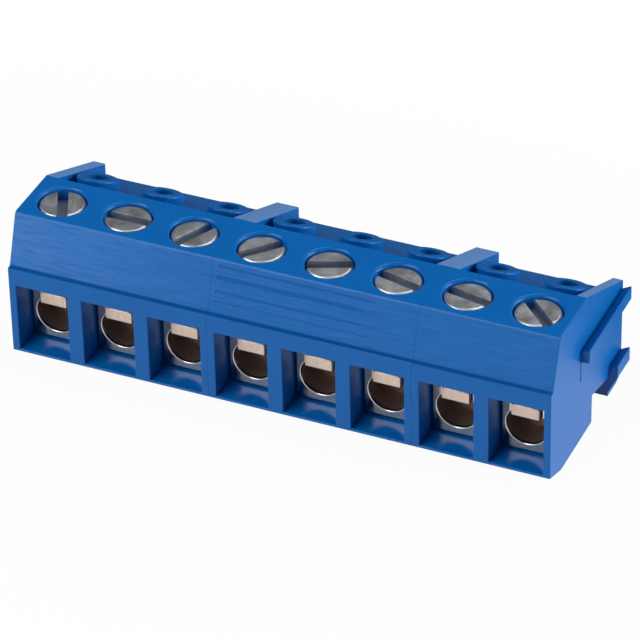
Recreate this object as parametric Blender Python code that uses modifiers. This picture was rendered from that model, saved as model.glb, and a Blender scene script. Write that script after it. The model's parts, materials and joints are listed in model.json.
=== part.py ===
"""Pluggable screw terminal block, built as a row of interlocking modules.

Each pole is a rising-cage clamp: a captive screw turns in the housing and lifts a metal cage, which grips
the wire against a fixed current bar. The bar ends in a socket for a header pin that enters from below.
The block frame has X along the row from the first pole's centre, Y from the wire side to the rear, and
Z up from the face that stands on the circuit board.
"""

import math

import bmesh
import bpy
from mathutils import Matrix, Vector

MM = 0.001

# Row of poles
PITCH = 5.08 * MM
MODULE_POLES = {"housing_left": 3, "housing_middle": 3, "housing_right": 2}
SEAM_GAP = 0.04 * MM

# Front of the housing
FRONT_EDGE_RISE = 0.66 * MM
FRONT_CHAMFER_DEPTH = 2.0 * MM
FLOOR_THICKNESS = 0.86 * MM
ENTRY_WIDTH = 3.96 * MM
ENTRY_HEIGHT = 5.38 * MM
LINTEL_HEIGHT = 1.42 * MM
LINTEL_THICKNESS = 1.25 * MM
LEDGE_DEPTH = 0.31 * MM

# Top face and the sloping rear
TOP_FRONT = 1.65 * MM
TOP_DEPTH = 4.92 * MM
BROW_RADIUS = 0.35 * MM
BLOCK_DEPTH = 13.9 * MM
REAR_HEIGHT = 8.16 * MM
TERRACE_DROP = 1.0 * MM
LEFT_WALL = 0.95 * MM
RIGHT_WALL = 0.78 * MM

# Underside: the slot that takes the header, and the rear foot
SLOT_FRONT = 8.05 * MM
SLOT_WIDTH = 3.25 * MM
SLOT_HEIGHT = 2.26 * MM
SLOT_FALL = 0.66 * MM
FOOT_CHAMFER_DEPTH = 0.9 * MM
FOOT_CHAMFER_RISE = 0.3 * MM

# Lift cage
CAGE_SIDE_GAP = 0.14 * MM
CAGE_FLOOR_GAP = 0.14 * MM
CAGE_FRONT_REACH = 1.95 * MM
CAGE_SIDE_WALL = 0.35 * MM
CAGE_BASE = 0.57 * MM
CAGE_EDGE = 0.12 * MM
COLLAR_HEIGHT = 2.36 * MM
WIRE_STOP_REACH = 0.30 * MM
LIFT_TRAVEL = 1.5 * MM
LIFT_HEADROOM = 0.2 * MM

# Clamp screw
SCREW_SETBACK = 2.34 * MM
THREAD_RADIUS = 1.25 * MM
THREAD_CLEARANCE = 0.05 * MM
SHANK_HOLE_CLEARANCE = 0.15 * MM
SEAT_WEB = 0.95 * MM
SEAT_GAP = 0.05 * MM
HEAD_RADIUS = 1.66 * MM
HEAD_HEIGHT = 1.52 * MM
HEAD_EDGE = 0.07 * MM
HEAD_SUNK = 0.27 * MM
WELL_CLEARANCE = 0.10 * MM
WELL_CHAMFER = 0.05 * MM
SLOT_CUT_WIDTH = 0.78 * MM
SLOT_CUT_DEPTH = 0.70 * MM
TIP_GAP = 0.06 * MM
TIP_TAPER = 0.40 * MM
SLOT_ANGLES = (114, 180, 63, 47, 22, 166, 168, 135)

# Contact: current bar and pin socket
BAR_WIDTH = 2.04 * MM
BAR_THICKNESS = 1.12 * MM
BAR_CROWN_RISE = 0.45 * MM
BAR_CROWN_CHAMFER = 0.15 * MM
BAR_WINDOW_CLEARANCE = 0.06 * MM
BAR_NOSE = 0.35 * MM
BAR_NOSE_CHAMFER = 0.14 * MM
SOCKET_Y = 9.5 * MM
SOCKET_WIDTH = 2.2 * MM
SOCKET_DEPTH = 2.6 * MM
SOCKET_HEIGHT = 4.0 * MM
SOCKET_BORE = 1.1 * MM
SOCKET_SLIT_WIDTH = 0.5 * MM
SOCKET_SLIT_HEIGHT = 2.7 * MM
TUNNEL_CLEARANCE = 0.12 * MM
PIN_WEB = 0.45 * MM
PIN_ENTRY = 1.6 * MM

# Test-probe bosses
BOSS_RADIUS = 1.5 * MM
PROBE_RADIUS = 0.8 * MM

# Dovetail hooks on the right end and their grooves in the left end
HOOK_REACH = 0.70 * MM
HOOK_UNDERCUT = 0.38 * MM
HOOK_FACE = 1.08 * MM
UPPER_HOOK_FLANK = 0.06 * MM
LOWER_HOOK_FLANK = 1.38 * MM
HOOK_EMBED = 0.30 * MM
HOOK_CLEARANCE = 0.08 * MM
HOOK_REAR_SETBACK = 0.12 * MM
UPPER_HOOK_ROOT = 7.54 * MM
UPPER_HOOK_FRONT = 5.5 * MM
LOWER_HOOK_ROOT = 2.40 * MM
LOWER_HOOK_INSET = 0.05 * MM

# How far a cutter runs past the surface that it opens
PAST = 1.0 * MM
ROUND_SEGMENTS = 32
SMALL_ROUND_SEGMENTS = 20
BROW_STEPS = 4
SHARP_ANGLE = math.radians(30)

# Sizes that follow from those above, from the board face upwards
entry_top = FLOOR_THICKNESS + ENTRY_HEIGHT
ledge_height = entry_top + LINTEL_HEIGHT
cage_width = ENTRY_WIDTH - 2 * CAGE_SIDE_GAP
wire_hole_radius = cage_width / 2 - CAGE_SIDE_WALL
cage_bottom = FLOOR_THICKNESS + CAGE_FLOOR_GAP
wire_hole_height = CAGE_BASE + wire_hole_radius
cage_height = wire_hole_height + wire_hole_radius + COLLAR_HEIGHT
chamber_roof = cage_bottom + cage_height + LIFT_TRAVEL + LIFT_HEADROOM
head_seat = chamber_roof + SEAT_WEB
head_bottom = head_seat + SEAT_GAP
top_height = head_bottom + HEAD_HEIGHT + HEAD_SUNK
well_radius = HEAD_RADIUS + WELL_CLEARANCE

# Sizes that follow along the depth
top_rear = TOP_FRONT + TOP_DEPTH
screw_y = TOP_FRONT + SCREW_SETBACK
cage_front = screw_y - CAGE_FRONT_REACH
rear_slope = (top_height - REAR_HEIGHT) / (BLOCK_DEPTH - top_rear)
slot_rear = SLOT_FRONT + SLOT_WIDTH
slot_rear_height = SLOT_HEIGHT - SLOT_FALL

# The bar lies in a notch above the round wire hole, and the socket stands over the header slot
bar_top = cage_bottom + wire_hole_height + wire_hole_radius + BAR_CROWN_RISE
bar_front = cage_front - BAR_NOSE
screw_tip = bar_top + TIP_GAP
tunnel_floor = SLOT_HEIGHT + PIN_WEB
socket_bottom = tunnel_floor + TUNNEL_CLEARANCE
tunnel_roof = socket_bottom + SOCKET_HEIGHT + TUNNEL_CLEARANCE
tunnel_width = SOCKET_WIDTH + 2 * TUNNEL_CLEARANCE
tunnel_rear = SOCKET_Y + SOCKET_DEPTH / 2 + TUNNEL_CLEARANCE

pole_count = sum(MODULE_POLES.values())
row_left = -PITCH / 2
row_right = row_left + pole_count * PITCH - SEAM_GAP


def clear_scene():
    for old in list(bpy.data.objects):
        bpy.data.objects.remove(old)


def new_collection(name):
    made = bpy.data.collections.new(name)
    bpy.context.scene.collection.children.link(made)
    return made


def new_material(name, colour, roughness, metallic):
    made = bpy.data.materials.new(name)
    made.use_nodes = True
    shader = made.node_tree.nodes["Principled BSDF"]
    shader.inputs["Base Color"].default_value = (*colour, 1.0)
    shader.inputs["Roughness"].default_value = roughness
    shader.inputs["Metallic"].default_value = metallic
    return made


def add_object(name, shape, collection, location=(0, 0, 0)):
    """Turns a bmesh into an object that hangs on the block's reference empty."""
    bmesh.ops.recalc_face_normals(shape, faces=shape.faces)
    mesh = bpy.data.meshes.new(name)
    shape.to_mesh(mesh)
    shape.free()
    made = bpy.data.objects.new(name, mesh)
    collection.objects.link(made)
    made.parent = block
    made.location = location
    return made


def add_helper(name, shape, location=(0, 0, 0)):
    """A cutter or an addition for a Boolean, which isn't a piece of the block itself."""
    made = add_object(name, shape, helpers, location)
    made.hide_render = True
    made.display_type = "WIRE"
    return made


def combine(piece, helper, operation):
    modifier = piece.modifiers.new(f"{operation.lower()}_{helper.name}", "BOOLEAN")
    modifier.operation = operation
    modifier.solver = "EXACT"
    modifier.object = helper


def cut(piece, helper):
    combine(piece, helper, "DIFFERENCE")


def join(piece, helper):
    combine(piece, helper, "UNION")


def prism(outline, place, travel):
    """An outline of two-number points, put in space by place and extruded along travel."""
    shape = bmesh.new()
    face = shape.faces.new([shape.verts.new(place(a, b)) for a, b in outline])
    grown = bmesh.ops.extrude_face_region(shape, geom=[face])["geom"]
    moved = [item for item in grown if isinstance(item, bmesh.types.BMVert)]
    bmesh.ops.translate(shape, verts=moved, vec=travel)
    return shape


def side_prism(outline, x_start, x_end):
    """A side-view outline of (Y, Z) points, extruded along the row."""
    return prism(outline, lambda y, z: (x_start, y, z), (x_end - x_start, 0, 0))


def rail_prism(outline, y_start, y_end):
    """A front-view outline of (X, Z) points, extruded towards the rear."""
    return prism(outline, lambda x, z: (x, y_start, z), (0, y_end - y_start, 0))


def box(low, high):
    shape = bmesh.new()
    centre = (Vector(low) + Vector(high)) / 2
    size = Vector(high) - Vector(low)
    matrix = Matrix.Translation(centre) @ Matrix.Diagonal((*size, 1.0))
    bmesh.ops.create_cube(shape, size=1.0, matrix=matrix)
    return shape


def clamp_plan(half_width, front_reach):
    """The clamp seen from above: straight sides and a half-round rear about the screw axis."""
    arc_steps = ROUND_SEGMENTS // 2
    angles = [math.pi * step / arc_steps for step in range(arc_steps + 1)]
    arc = [(half_width * math.cos(angle), half_width * math.sin(angle)) for angle in angles]
    return [(-half_width, -front_reach), (half_width, -front_reach), *arc]


def cylinder(radius, start, end, segments):
    """A cylinder between two points on one axis."""
    start = Vector(start)
    along = Vector(end) - start
    turn = along.to_track_quat("Z", "Y").to_matrix().to_4x4()
    shape = bmesh.new()
    bmesh.ops.create_cone(
        shape,
        cap_ends=True,
        segments=segments,
        radius1=radius,
        radius2=radius,
        depth=along.length,
        matrix=Matrix.Translation(start + along / 2) @ turn,
    )
    return shape


def turned(name, profile, collection, location):
    """A profile of (radius, Z) points, from the top down its outer side, turned about Z."""
    shape = bmesh.new()
    points = [shape.verts.new((radius, 0, z)) for radius, z in profile]
    for upper, lower in zip(points, points[1:]):
        shape.edges.new((upper, lower))
    made = add_object(name, shape, collection, location)
    screw = made.modifiers.new("turn", "SCREW")
    screw.steps = ROUND_SEGMENTS
    screw.render_steps = ROUND_SEGMENTS
    screw.use_merge_vertices = True
    screw.merge_threshold = 0.00001
    return made


def slope_height(y):
    """Height of the plane that slopes from the top face's rear edge down to the rear."""
    return top_height - rear_slope * (y - top_rear)


def terrace_height(y):
    return slope_height(y) - TERRACE_DROP


def brow_arc():
    """The rounding between the leaning front and the top face, as (Y, Z) points from the front up."""
    corner = Vector((TOP_FRONT, top_height))
    down_front = (Vector((LEDGE_DEPTH, ledge_height)) - corner).normalized()
    along_top = Vector((1, 0))
    half_angle = down_front.angle(along_top) / 2
    inward = (down_front + along_top).normalized()
    centre = corner + inward * BROW_RADIUS / math.sin(half_angle)
    start = corner + down_front * BROW_RADIUS / math.tan(half_angle) - centre
    sweep = math.pi - 2 * half_angle
    turns = [Matrix.Rotation(-sweep * step / BROW_STEPS, 2) for step in range(BROW_STEPS + 1)]
    return [tuple(centre + turn @ start) for turn in turns]


def side_profile():
    """The housing's outline seen from its end, without the terrace."""
    return [
        (0, FRONT_EDGE_RISE),
        (0, ledge_height),
        (LEDGE_DEPTH, ledge_height),
        *brow_arc(),
        (top_rear, top_height),
        (BLOCK_DEPTH, REAR_HEIGHT),
        (BLOCK_DEPTH, FOOT_CHAMFER_RISE),
        (BLOCK_DEPTH - FOOT_CHAMFER_DEPTH, 0),
        (slot_rear, 0),
        (slot_rear, slot_rear_height),
        (SLOT_FRONT, SLOT_HEIGHT),
        (SLOT_FRONT, 0),
        (FRONT_CHAMFER_DEPTH, 0),
    ]


def terrace_cutter(x_start, x_end):
    """Takes the sloping rear down between a module's end walls."""
    past_rear = BLOCK_DEPTH + PAST
    outline = [
        (top_rear, terrace_height(top_rear)),
        (top_rear, top_height + PAST),
        (past_rear, top_height + PAST),
        (past_rear, terrace_height(past_rear)),
    ]
    return side_prism(outline, x_start, x_end)


def chamber_cutter(name, x):
    """The wire entry and the taller clamp chamber behind its lintel, with the clamp's plan."""
    half_width = ENTRY_WIDTH / 2
    past_rear = screw_y + half_width + PAST
    outline = [
        (-PAST, FLOOR_THICKNESS),
        (-PAST, entry_top),
        (LINTEL_THICKNESS, entry_top),
        (LINTEL_THICKNESS, chamber_roof),
        (past_rear, chamber_roof),
        (past_rear, FLOOR_THICKNESS),
    ]
    wide = half_width + PAST
    chamber = add_helper(name, side_prism(outline, x - wide, x + wide))
    plan = clamp_plan(half_width, screw_y + PAST / 2)
    tall = top_height + PAST
    column = prism(plan, lambda a, b: (x + a, screw_y + b, -PAST), (0, 0, tall))
    combine(chamber, add_helper(f"{name}_plan", column), "INTERSECT")
    return chamber


def tunnel_cutter(x):
    low = (x - tunnel_width / 2, screw_y, tunnel_floor)
    high = (x + tunnel_width / 2, tunnel_rear, tunnel_roof)
    return box(low, high)


def pin_entry_cutter(x):
    half = PIN_ENTRY / 2
    low = (x - half, SOCKET_Y - half, slot_rear_height - PAST)
    high = (x + half, SOCKET_Y + half, tunnel_floor + SOCKET_HEIGHT / 2)
    return box(low, high)


def probe_cutter(x):
    inside_tunnel = (x, SOCKET_Y, tunnel_roof - SOCKET_HEIGHT / 2)
    above_boss = (x, SOCKET_Y, top_height + PAST)
    return cylinder(PROBE_RADIUS, inside_tunnel, above_boss, SMALL_ROUND_SEGMENTS)


def boss_shape(x):
    """A round boss whose top is cut off along the slope of the end walls."""
    foot = (x, SOCKET_Y, (tunnel_roof + terrace_height(SOCKET_Y + BOSS_RADIUS)) / 2)
    crown = (x, SOCKET_Y, top_height + PAST)
    shape = cylinder(BOSS_RADIUS, foot, crown, ROUND_SEGMENTS)
    sliced = bmesh.ops.bisect_plane(
        shape,
        geom=shape.verts[:] + shape.edges[:] + shape.faces[:],
        dist=1e-9,
        plane_co=(x, SOCKET_Y, slope_height(SOCKET_Y)),
        plane_no=(0, rear_slope, 1),
        clear_outer=True,
    )
    rim = [item for item in sliced["geom_cut"] if isinstance(item, bmesh.types.BMEdge)]
    bmesh.ops.edgeloop_fill(shape, edges=rim)
    return shape


def hook_section(x, root, flank, inward, clearance):
    """Front view of a dovetail hook whose root top is at the height root, grown all round by a clearance."""
    tip_top = root + HOOK_UNDERCUT + clearance
    tip_bottom = root + HOOK_UNDERCUT - HOOK_FACE - clearance
    base = tip_bottom - flank
    tip = x + HOOK_REACH + clearance
    return [
        (x - inward, base),
        (x, base),
        (tip, tip_bottom),
        (tip, tip_top),
        (x, root + clearance),
        (x - inward, root + clearance),
    ]


def hook_places():
    """Name, root height, flank height and front end of the two hooks on a module's end."""
    return [
        ("upper", UPPER_HOOK_ROOT, UPPER_HOOK_FLANK, UPPER_HOOK_FRONT),
        ("lower", LOWER_HOOK_ROOT, LOWER_HOOK_FLANK, slot_rear + LOWER_HOOK_INSET),
    ]


def well_cutter(name, x):
    """Screw hole and head well with a chamfered mouth."""
    hole_radius = THREAD_RADIUS + SHANK_HOLE_CLEARANCE
    mouth_radius = well_radius + WELL_CHAMFER
    profile = [
        (0, top_height + PAST),
        (mouth_radius, top_height + PAST),
        (mouth_radius, top_height),
        (well_radius, top_height - WELL_CHAMFER),
        (well_radius, head_seat),
        (hole_radius, head_seat),
        (hole_radius, chamber_roof - LIFT_HEADROOM),
        (0, chamber_roof - LIFT_HEADROOM),
    ]
    made = turned(name, profile, helpers, (x, screw_y, 0))
    made.hide_render = True
    made.display_type = "WIRE"
    return made


def build_housing(name, first_pole, poles):
    left = row_left + first_pole * PITCH
    right = left + poles * PITCH - SEAM_GAP
    housing = add_object(name, side_prism(side_profile(), left, right), parts)
    housing.data.materials.append(blue_polyamide)

    cut(housing, add_helper(f"{name}_terrace", terrace_cutter(left + LEFT_WALL, right - RIGHT_WALL)))
    for pole in range(first_pole, first_pole + poles):
        x = pole * PITCH
        tag = f"{name}_{pole + 1}"
        join(housing, add_helper(f"{tag}_boss", boss_shape(x)))
        cut(housing, chamber_cutter(f"{tag}_chamber", x))
        cut(housing, add_helper(f"{tag}_tunnel", tunnel_cutter(x)))
        cut(housing, well_cutter(f"{tag}_well", x))
        cut(housing, add_helper(f"{tag}_pin_entry", pin_entry_cutter(x)))
        cut(housing, add_helper(f"{tag}_probe", probe_cutter(x)))

    hook_end = BLOCK_DEPTH - HOOK_REAR_SETBACK
    for place, root, flank, front in hook_places():
        hook = rail_prism(hook_section(right, root, flank, HOOK_EMBED, 0), front, hook_end)
        join(housing, add_helper(f"{name}_{place}_hook", hook))
        neighbour_right = left - SEAM_GAP
        section = hook_section(neighbour_right, root, flank, PAST, HOOK_CLEARANCE)
        groove = rail_prism(section, front - HOOK_CLEARANCE, BLOCK_DEPTH + PAST)
        cut(housing, add_helper(f"{name}_{place}_groove", groove))


def build_screw(number):
    """A slotted screw, with its origin on its axis under the head."""
    length = head_bottom - screw_tip
    profile = [
        (0, HEAD_HEIGHT),
        (HEAD_RADIUS - HEAD_EDGE, HEAD_HEIGHT),
        (HEAD_RADIUS, HEAD_HEIGHT - HEAD_EDGE),
        (HEAD_RADIUS, HEAD_EDGE),
        (HEAD_RADIUS - HEAD_EDGE, 0),
        (THREAD_RADIUS, 0),
        (THREAD_RADIUS, TIP_TAPER - length),
        (THREAD_RADIUS - TIP_TAPER, -length),
        (0, -length),
    ]
    place = Vector(((number - 1) * PITCH, screw_y, head_bottom))
    screw = turned(f"clamp_screw_{number}", profile, parts, place)
    screw.rotation_euler.z = math.radians(SLOT_ANGLES[number - 1])
    screw.data.materials.append(plated_steel)
    reach = HEAD_RADIUS + PAST
    low = (-reach, -SLOT_CUT_WIDTH / 2, HEAD_HEIGHT - SLOT_CUT_DEPTH)
    high = (reach, SLOT_CUT_WIDTH / 2, HEAD_HEIGHT + PAST)
    slot = add_helper(f"clamp_screw_{number}_slot", box(low, high), place)
    slot.rotation_euler = screw.rotation_euler
    cut(screw, slot)


def build_cage(number):
    """A lift cage, with its origin on the screw axis at its underside."""
    plan = clamp_plan(cage_width / 2, CAGE_FRONT_REACH)
    block_shape = prism(plan, lambda a, b: (a, b, 0), (0, 0, cage_height))
    bmesh.ops.recalc_face_normals(block_shape, faces=block_shape.faces)
    sharp = [edge for edge in block_shape.edges if edge.calc_face_angle() > SHARP_ANGLE]
    bmesh.ops.bevel(
        block_shape,
        geom=sharp,
        offset=CAGE_EDGE,
        affect="EDGES",
        segments=2,
        profile=0.5,
    )
    place = Vector(((number - 1) * PITCH, screw_y, cage_bottom))
    cage = add_object(f"lift_cage_{number}", block_shape, parts, place)
    cage.data.materials.append(nickel_plate)

    hole_front = (0, -CAGE_FRONT_REACH - PAST, wire_hole_height)
    hole_rear = (0, WIRE_STOP_REACH, wire_hole_height)
    wire_hole = cylinder(wire_hole_radius, hole_front, hole_rear, ROUND_SEGMENTS)
    cut(cage, add_helper(f"lift_cage_{number}_wire_hole", wire_hole, place))

    half_window = BAR_WIDTH / 2 + BAR_WINDOW_CLEARANCE
    window_top = bar_top - cage_bottom + BAR_WINDOW_CLEARANCE
    window_bottom = window_top - BAR_THICKNESS - LIFT_TRAVEL - 2 * BAR_WINDOW_CLEARANCE
    past_front = -CAGE_FRONT_REACH - PAST
    past_rear = cage_width / 2 + PAST
    outline = [
        (past_front, wire_hole_height),
        (past_front, window_top),
        (past_rear, window_top),
        (past_rear, window_bottom),
        (0, window_bottom),
        (0, wire_hole_height),
    ]
    window = side_prism(outline, -half_window, half_window)
    cut(cage, add_helper(f"lift_cage_{number}_bar_window", window, place))

    bore_bottom = screw_tip - TIP_GAP - LIFT_TRAVEL - cage_bottom
    bore_start = (0, 0, bore_bottom)
    bore_end = (0, 0, cage_height + PAST)
    bore_radius = THREAD_RADIUS + THREAD_CLEARANCE
    bore = cylinder(bore_radius, bore_start, bore_end, ROUND_SEGMENTS)
    cut(cage, add_helper(f"lift_cage_{number}_collar_bore", bore, place))


def is_crown_edge(edge, top):
    """Tells whether an edge runs along the depth at the height top."""
    first, second = (vert.co for vert in edge.verts)
    level = abs(first.z - top) < 1e-8 and abs(second.z - top) < 1e-8
    return level and abs(first.x - second.x) < 1e-8


def build_contact(number):
    """A current bar with its pin socket, with its origin on the socket's axis at its underside."""
    place = Vector(((number - 1) * PITCH, SOCKET_Y, socket_bottom))
    half_width = SOCKET_WIDTH / 2
    half_depth = SOCKET_DEPTH / 2
    socket = box((-half_width, -half_depth, 0), (half_width, half_depth, SOCKET_HEIGHT))
    contact = add_object(f"contact_{number}", socket, parts, place)
    contact.data.materials.append(tinned_copper)

    top = bar_top - socket_bottom
    bottom = top - BAR_THICKNESS
    front = bar_front - SOCKET_Y
    outline = [
        (front, bottom + BAR_NOSE_CHAMFER),
        (front, top - BAR_NOSE_CHAMFER),
        (front + BAR_NOSE_CHAMFER, top),
        (-half_depth / 2 - SOCKET_BORE / 2, top),
        (-half_depth / 2 - SOCKET_BORE / 2, bottom),
        (front + BAR_NOSE_CHAMFER, bottom),
    ]
    bar = side_prism(outline, -BAR_WIDTH / 2, BAR_WIDTH / 2)
    crown = [edge for edge in bar.edges if is_crown_edge(edge, top)]
    bmesh.ops.bevel(bar, geom=crown, offset=BAR_CROWN_CHAMFER, affect="EDGES", segments=1)
    join(contact, add_helper(f"contact_{number}_bar", bar, place))

    half_bore = SOCKET_BORE / 2
    bore = box((-half_bore, -half_bore, -PAST), (half_bore, half_bore, SOCKET_HEIGHT + PAST))
    cut(contact, add_helper(f"contact_{number}_bore", bore, place))
    slit_low = (-SOCKET_SLIT_WIDTH / 2, 0, -PAST)
    slit_high = (SOCKET_SLIT_WIDTH / 2, half_depth + PAST, SOCKET_SLIT_HEIGHT)
    cut(contact, add_helper(f"contact_{number}_slit", box(slit_low, slit_high), place))


clear_scene()
parts = new_collection("terminal_block")
helpers = new_collection("cutters")
block = bpy.data.objects.new("block_reference", None)
block.location = (-(row_left + row_right + HOOK_REACH) / 2, -BLOCK_DEPTH / 2, 0)
parts.objects.link(block)

blue_polyamide = new_material("blue_polyamide", (0.012, 0.12, 0.45), 0.38, 0.0)
plated_steel = new_material("plated_steel", (0.33, 0.33, 0.31), 0.35, 1.0)
nickel_plate = new_material("nickel_plate", (0.62, 0.61, 0.58), 0.18, 1.0)
tinned_copper = new_material("tinned_copper", (0.72, 0.58, 0.47), 0.35, 1.0)

next_pole = 0
for housing_name, housing_poles in MODULE_POLES.items():
    build_housing(housing_name, next_pole, housing_poles)
    next_pole += housing_poles
for pole_number in range(1, pole_count + 1):
    build_screw(pole_number)
    build_cage(pole_number)
    build_contact(pole_number)
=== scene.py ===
"""Dresses a packed screw terminal block: housings, screws, lift cages and contacts, and a studio around it.

The file is laid out as a Blender add-on and is run as a script. Lengths are in metres, and places are in
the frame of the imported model, with X along the row of poles, Y from the wire side to the rear and Z up.
"""

import json
import math

import bmesh
import bpy
from mathutils import Matrix, Vector

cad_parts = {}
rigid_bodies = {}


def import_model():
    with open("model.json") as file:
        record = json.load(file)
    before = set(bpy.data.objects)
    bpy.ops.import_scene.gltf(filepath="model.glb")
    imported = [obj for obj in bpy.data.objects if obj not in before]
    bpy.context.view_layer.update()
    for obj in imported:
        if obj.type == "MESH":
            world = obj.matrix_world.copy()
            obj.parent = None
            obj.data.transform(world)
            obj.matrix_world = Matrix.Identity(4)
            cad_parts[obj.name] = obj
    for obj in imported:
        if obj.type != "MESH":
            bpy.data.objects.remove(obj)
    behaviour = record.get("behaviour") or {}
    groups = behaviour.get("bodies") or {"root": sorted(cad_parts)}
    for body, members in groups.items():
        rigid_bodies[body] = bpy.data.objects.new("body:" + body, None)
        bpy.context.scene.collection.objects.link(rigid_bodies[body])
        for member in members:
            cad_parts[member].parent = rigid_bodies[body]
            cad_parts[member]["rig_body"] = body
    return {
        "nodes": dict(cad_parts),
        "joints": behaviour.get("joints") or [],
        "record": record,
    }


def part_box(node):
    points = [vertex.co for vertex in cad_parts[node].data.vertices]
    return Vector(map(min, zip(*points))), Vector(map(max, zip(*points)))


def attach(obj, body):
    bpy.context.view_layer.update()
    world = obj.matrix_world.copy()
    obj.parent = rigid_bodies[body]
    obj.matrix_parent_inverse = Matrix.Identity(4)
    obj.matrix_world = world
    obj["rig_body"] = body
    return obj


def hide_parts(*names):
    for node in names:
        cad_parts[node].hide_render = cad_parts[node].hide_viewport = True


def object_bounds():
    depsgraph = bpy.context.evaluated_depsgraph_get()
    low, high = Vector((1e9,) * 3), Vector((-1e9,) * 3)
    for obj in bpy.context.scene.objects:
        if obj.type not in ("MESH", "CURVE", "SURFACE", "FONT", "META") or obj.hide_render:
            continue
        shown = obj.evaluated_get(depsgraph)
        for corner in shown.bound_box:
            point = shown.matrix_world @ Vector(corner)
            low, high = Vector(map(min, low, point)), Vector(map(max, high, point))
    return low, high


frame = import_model()
CAD_LOW, CAD_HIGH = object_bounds()

bl_info = {
    "name": "Screw Terminal Block Looks",
    "version": (1, 0, 0),
    "blender": (4, 5, 0),
    "location": "3D View > Sidebar > Terminal Block",
    "description": "Builds the visible pieces of a row-built screw terminal block around its packed model",
    "category": "Object",
}

MM = 0.001

# Side view of the leaning front, from the wire side and the board face
LEDGE_Y = 0.31 * MM
LEDGE_Z = 7.66 * MM
TOP_FRONT_Y = 1.65 * MM
TOP_Z = 11.40 * MM

# Side view of the sloping rear, from the top's rear edge down to the back
TOP_REAR_Y = 6.57 * MM
BACK_Y = 13.9 * MM
BACK_Z = 8.16 * MM

# Centre and width of each groove in the leaning front, measured up the slope from the ledge
GROOVES = ((3.40 * MM, 0.20 * MM), (2.62 * MM, 0.44 * MM), (1.59 * MM, 0.22 * MM), (0.87 * MM, 0.12 * MM))
GROOVED_MODULE = "housing_middle"
MODULES = ("housing_left", "housing_middle", "housing_right")

# Room taken by the hooks and grooves that join the modules
DOVETAIL_REACH = 0.70 * MM
DOVETAIL_FRONT = 5.3 * MM
DOVETAIL_TOP = 8.3 * MM

# Distance between neighbouring poles
POLE_PITCH = 5.08 * MM

# Wells that take the screw heads
WELL_RADIUS = 1.76 * MM

# Bosses around the test-probe holes, from the wire side
BOSS_Y = 9.5 * MM
BOSS_RADIUS = 1.5 * MM

# Slit in a module's right end, below the front of its upper hook
SLIT_Y = 5.7 * MM
SLIT_LOW = 4.99 * MM
SLIT_HIGH = 6.83 * MM

# Slot directions in degrees from +X, from the first pole to the last
SLOT_ANGLES = (114, 180, 63, 47, 22, 166, 168, 135)

# A faceted round measures a little under its true size
FACETED = 1.0015

# Half the thread's width at its root and at its crest, as shares of its pitch
ROOT_SHARE = 0.42
CREST_SHARE = 0.07

# How far the thread's root lies inside its core, as a share of its depth
ROOT_SINK = 0.25

# Room between a cage's outline and its wire hole, and depth of the part that holds the bar's window
RIM_INSET = 0.2 * MM
WINDOW_INSET = 0.8 * MM

# Shaping of copied and new meshes: edges that turn by more than SHARP_ANGLE are rounded
MERGE_DISTANCE = 0.002 * MM
SHORT_EDGE = 0.02 * MM
FLAT_ANGLE = math.radians(1)
SHARP_ANGLE = math.radians(21)
CORNER_ANGLE = math.radians(50)
SMOOTH_ANGLE = math.radians(35)
ROUND_STEPS = 64
THREAD_STEPS = 32

# Segments across a rounded edge, more where the rounding is wide
EDGE_SEGMENTS = 2
HOLE_SEGMENTS = 3
HEAD_SEGMENTS = 4
BOSS_SEGMENTS = 9

# How far a point may lie from the plane that it is on, and from the feature that it belongs to
CLOSE = 0.005 * MM
NEARBY = 0.1 * MM

# How far a cutter stands out of the face that it cuts
SLIT_OVERLAP = 0.05 * MM
SLOT_OVERLAP = 0.5 * MM

# Each lamp's bearing and height in degrees as seen from the block, then its width and height in millimetres
LAMPS = {"key": (-40, 40, 300, 220), "top": (150, 65, 250, 250), "side": (106, 15, 220, 160)}
LAMP_DISTANCE = 350 * MM

# Room under the block that keeps its underside and the floor apart
FLOOR_GAP = 0.01 * MM

# The way from the block to the brighter wall of the studio
BRIGHT_WALL = (-0.34, -0.94, 0.05)

# Stretch of the row, from its left end, over which the leaning front's texture wears off
WEAR_LENGTH = 16 * MM

# Height of the painted shade line on the ledge
LEDGE_SHADE_HEIGHT = 0.03 * MM

WHITE = (1, 1, 1, 1)

# Sockets of the colour Mix node, whose names are shared with its other types
MIX_FACTOR, MIX_A, MIX_B, MIX_RESULT = 0, 6, 7, 2


def hex_colour(text):
    """An sRGB hex value such as 1F5FAF as linear red, green and blue."""
    parts = [int(text[start:start + 2], 16) / 255 for start in (0, 2, 4)]
    return tuple(part / 12.92 if part <= 0.04045 else ((part + 0.055) / 1.055) ** 2.4 for part in parts)


def length(name, description, millimetres):
    """A length property with its default in millimetres."""
    return bpy.props.FloatProperty(
        name=name, description=description, default=millimetres * MM, min=0.0, precision=5,
        subtype="DISTANCE", unit="LENGTH",
    )


def colour(name, description, text):
    """A colour property with its default as an sRGB hex value."""
    return bpy.props.FloatVectorProperty(
        name=name, description=description, default=hex_colour(text), size=3, min=0.0, max=1.0,
        subtype="COLOR",
    )


def turn(name, description, degrees):
    """An angle property with its default in degrees."""
    return bpy.props.FloatProperty(
        name=name, description=description, default=math.radians(degrees), subtype="ANGLE", unit="ROTATION",
    )


def amount(name, description, value, unit="NONE"):
    """A number property, such as a lamp's power, with its unit where there is one."""
    return bpy.props.FloatProperty(
        name=name, description=description, default=value, min=0.0, precision=3, unit=unit,
    )


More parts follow.
